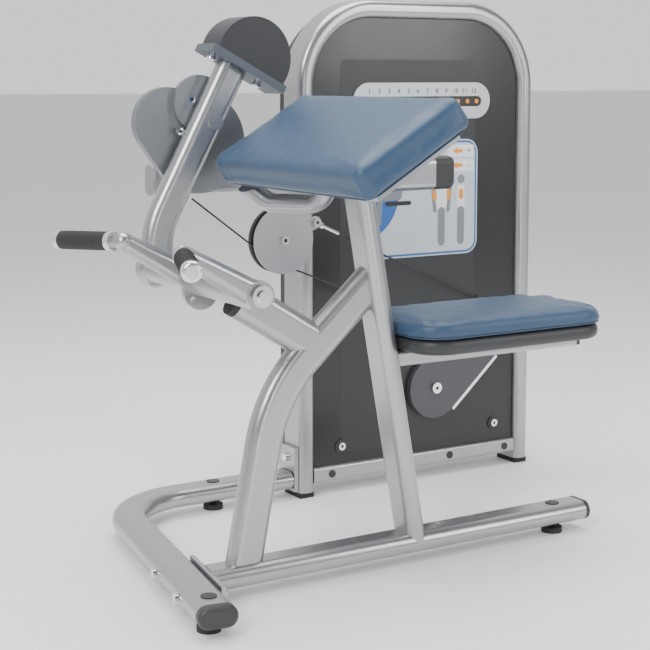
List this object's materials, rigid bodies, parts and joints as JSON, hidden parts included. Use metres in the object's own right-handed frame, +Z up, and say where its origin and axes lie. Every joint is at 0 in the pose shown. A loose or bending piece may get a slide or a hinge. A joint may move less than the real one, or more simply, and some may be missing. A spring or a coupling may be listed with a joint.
{
  "type": "arm curl machine",
  "caption": "Seated arm curl machine: sloping arm pad, cushioned seat, pivoting lever with hand yoke, cam and cables, and an arched resistance tower.",
  "frame": {"origin": "centre of the footprint's bounding box, on the floor", "axes": "+X along the main rail towards the seat, +Y from the rail to the tower, +Z up"},
  "size_m": [1.6287, 1.095, 1.386],
  "materials": {
    "frame_paint": "satin silver powder coat",
    "black_plastic": "matt moulded plastic",
    "black_rubber": "matt rubber",
    "chrome": "polished",
    "panel_black": "semi-gloss",
    "selector_silver": "satin",
    "orange_plastic": "gloss",
    "placard_print": "printed film",
    "blue_vinyl": "satin vinyl",
    "cam_grey": "satin",
    "counterweight_charcoal": "satin",
    "cable_black": "nylon coated"
  },
  "bodies": {
    "frame": {"arm_cable": "cable_black", "arm_pad": "blue_vinyl", "arm_pad_plate": "frame_paint", "bar_plugs": "black_plastic", "bearing_housing": "frame_paint", "cable_grommets": "black_plastic", "cable_terminal": "chrome", "flange_bolts": "chrome", "foot_tube_plugs": "black_plastic", "front_foot_cap": "black_plastic", "front_foot_tube": "frame_paint", "front_leg": "frame_paint", "guard_bar": "chrome", "guard_hub": "chrome", "guide_rods": "chrome", "instruction_placard": "placard_print", "leveling_feet": "black_rubber", "lower_guard": "panel_black", "main_rail": "frame_paint", "pad_brace_tube": "frame_paint", "pad_carrier_cap": "black_plastic", "pad_carrier_tube": "frame_paint", "pulley_axle": "chrome", "pulley_guard_plate": "cam_grey", "pulley_hanger": "frame_paint", "rail_end_cap": "black_plastic", "rail_flange": "frame_paint", "seat_cushion": "blue_vinyl", "seat_pan": "black_plastic", "seat_post": "frame_paint", "seat_tube": "frame_paint", "seat_tube_cap": "black_plastic", "selector_dots": "orange_plastic", "selector_plate": "selector_silver", "shaft_support_beam": "frame_paint", "stop_bumper": "black_rubber", "stop_tube": "frame_paint", "tower_bolts": "chrome", "tower_bottom_bar": "frame_paint", "tower_bracket": "frame_paint", "tower_cable": "cable_black", "tower_feet": "black_rubber", "tower_frame": "frame_paint", "tower_front_panel": "panel_black", "tower_rear_shroud": "panel_black"},
    "lever": {"movement_arm": "frame_paint", "arm_cross_tube": "frame_paint", "pivot_shaft": "chrome", "counterweight": "counterweight_charcoal", "counterweight_plate": "cam_grey", "counterweight_bolts": "chrome", "lever_cam": "cam_grey", "yoke_nut": "chrome"},
    "yoke": {"yoke_sleeve": "frame_paint", "yoke_arm_near": "frame_paint", "yoke_arm_far": "frame_paint", "hand_grips": "black_rubber", "grip_fittings": "chrome"},
    "pulley": {"transfer_pulley": "black_rubber"},
    "carriage": {"lift_carriage": "counterweight_charcoal"}
  },
  "joints": [
    {"name": "lever_hinge", "type": "hinge", "parent": "frame", "child": "lever", "pos_m": [-0.37559, 0.1925, 1.062], "axis": [0, 1, 0], "range_deg": [0, 115]},
    {"name": "yoke_hinge", "type": "hinge", "parent": "lever", "child": "yoke", "pos_m": [-0.54459, -0.1925, 0.71], "axis": [0, 1, 0], "range_deg": [-30, 45]},
    {"name": "pulley_spin", "type": "hinge", "parent": "frame", "child": "pulley", "pos_m": [-0.14459, 0.2445, 0.752], "axis": [0, 1, 0], "range_deg": [0, 350]},
    {"name": "carriage_slide", "type": "slide", "parent": "frame", "child": "carriage", "axis": [0, 0, 1], "range_m": [0, 0.41]}
  ],
  "couplings": [
    {"joint": "pulley_spin", "follows": "lever_hinge", "ratio": 3},
    {"joint": "carriage_slide", "follows": "lever_hinge", "m_per_rad": 0.2}
  ]
}
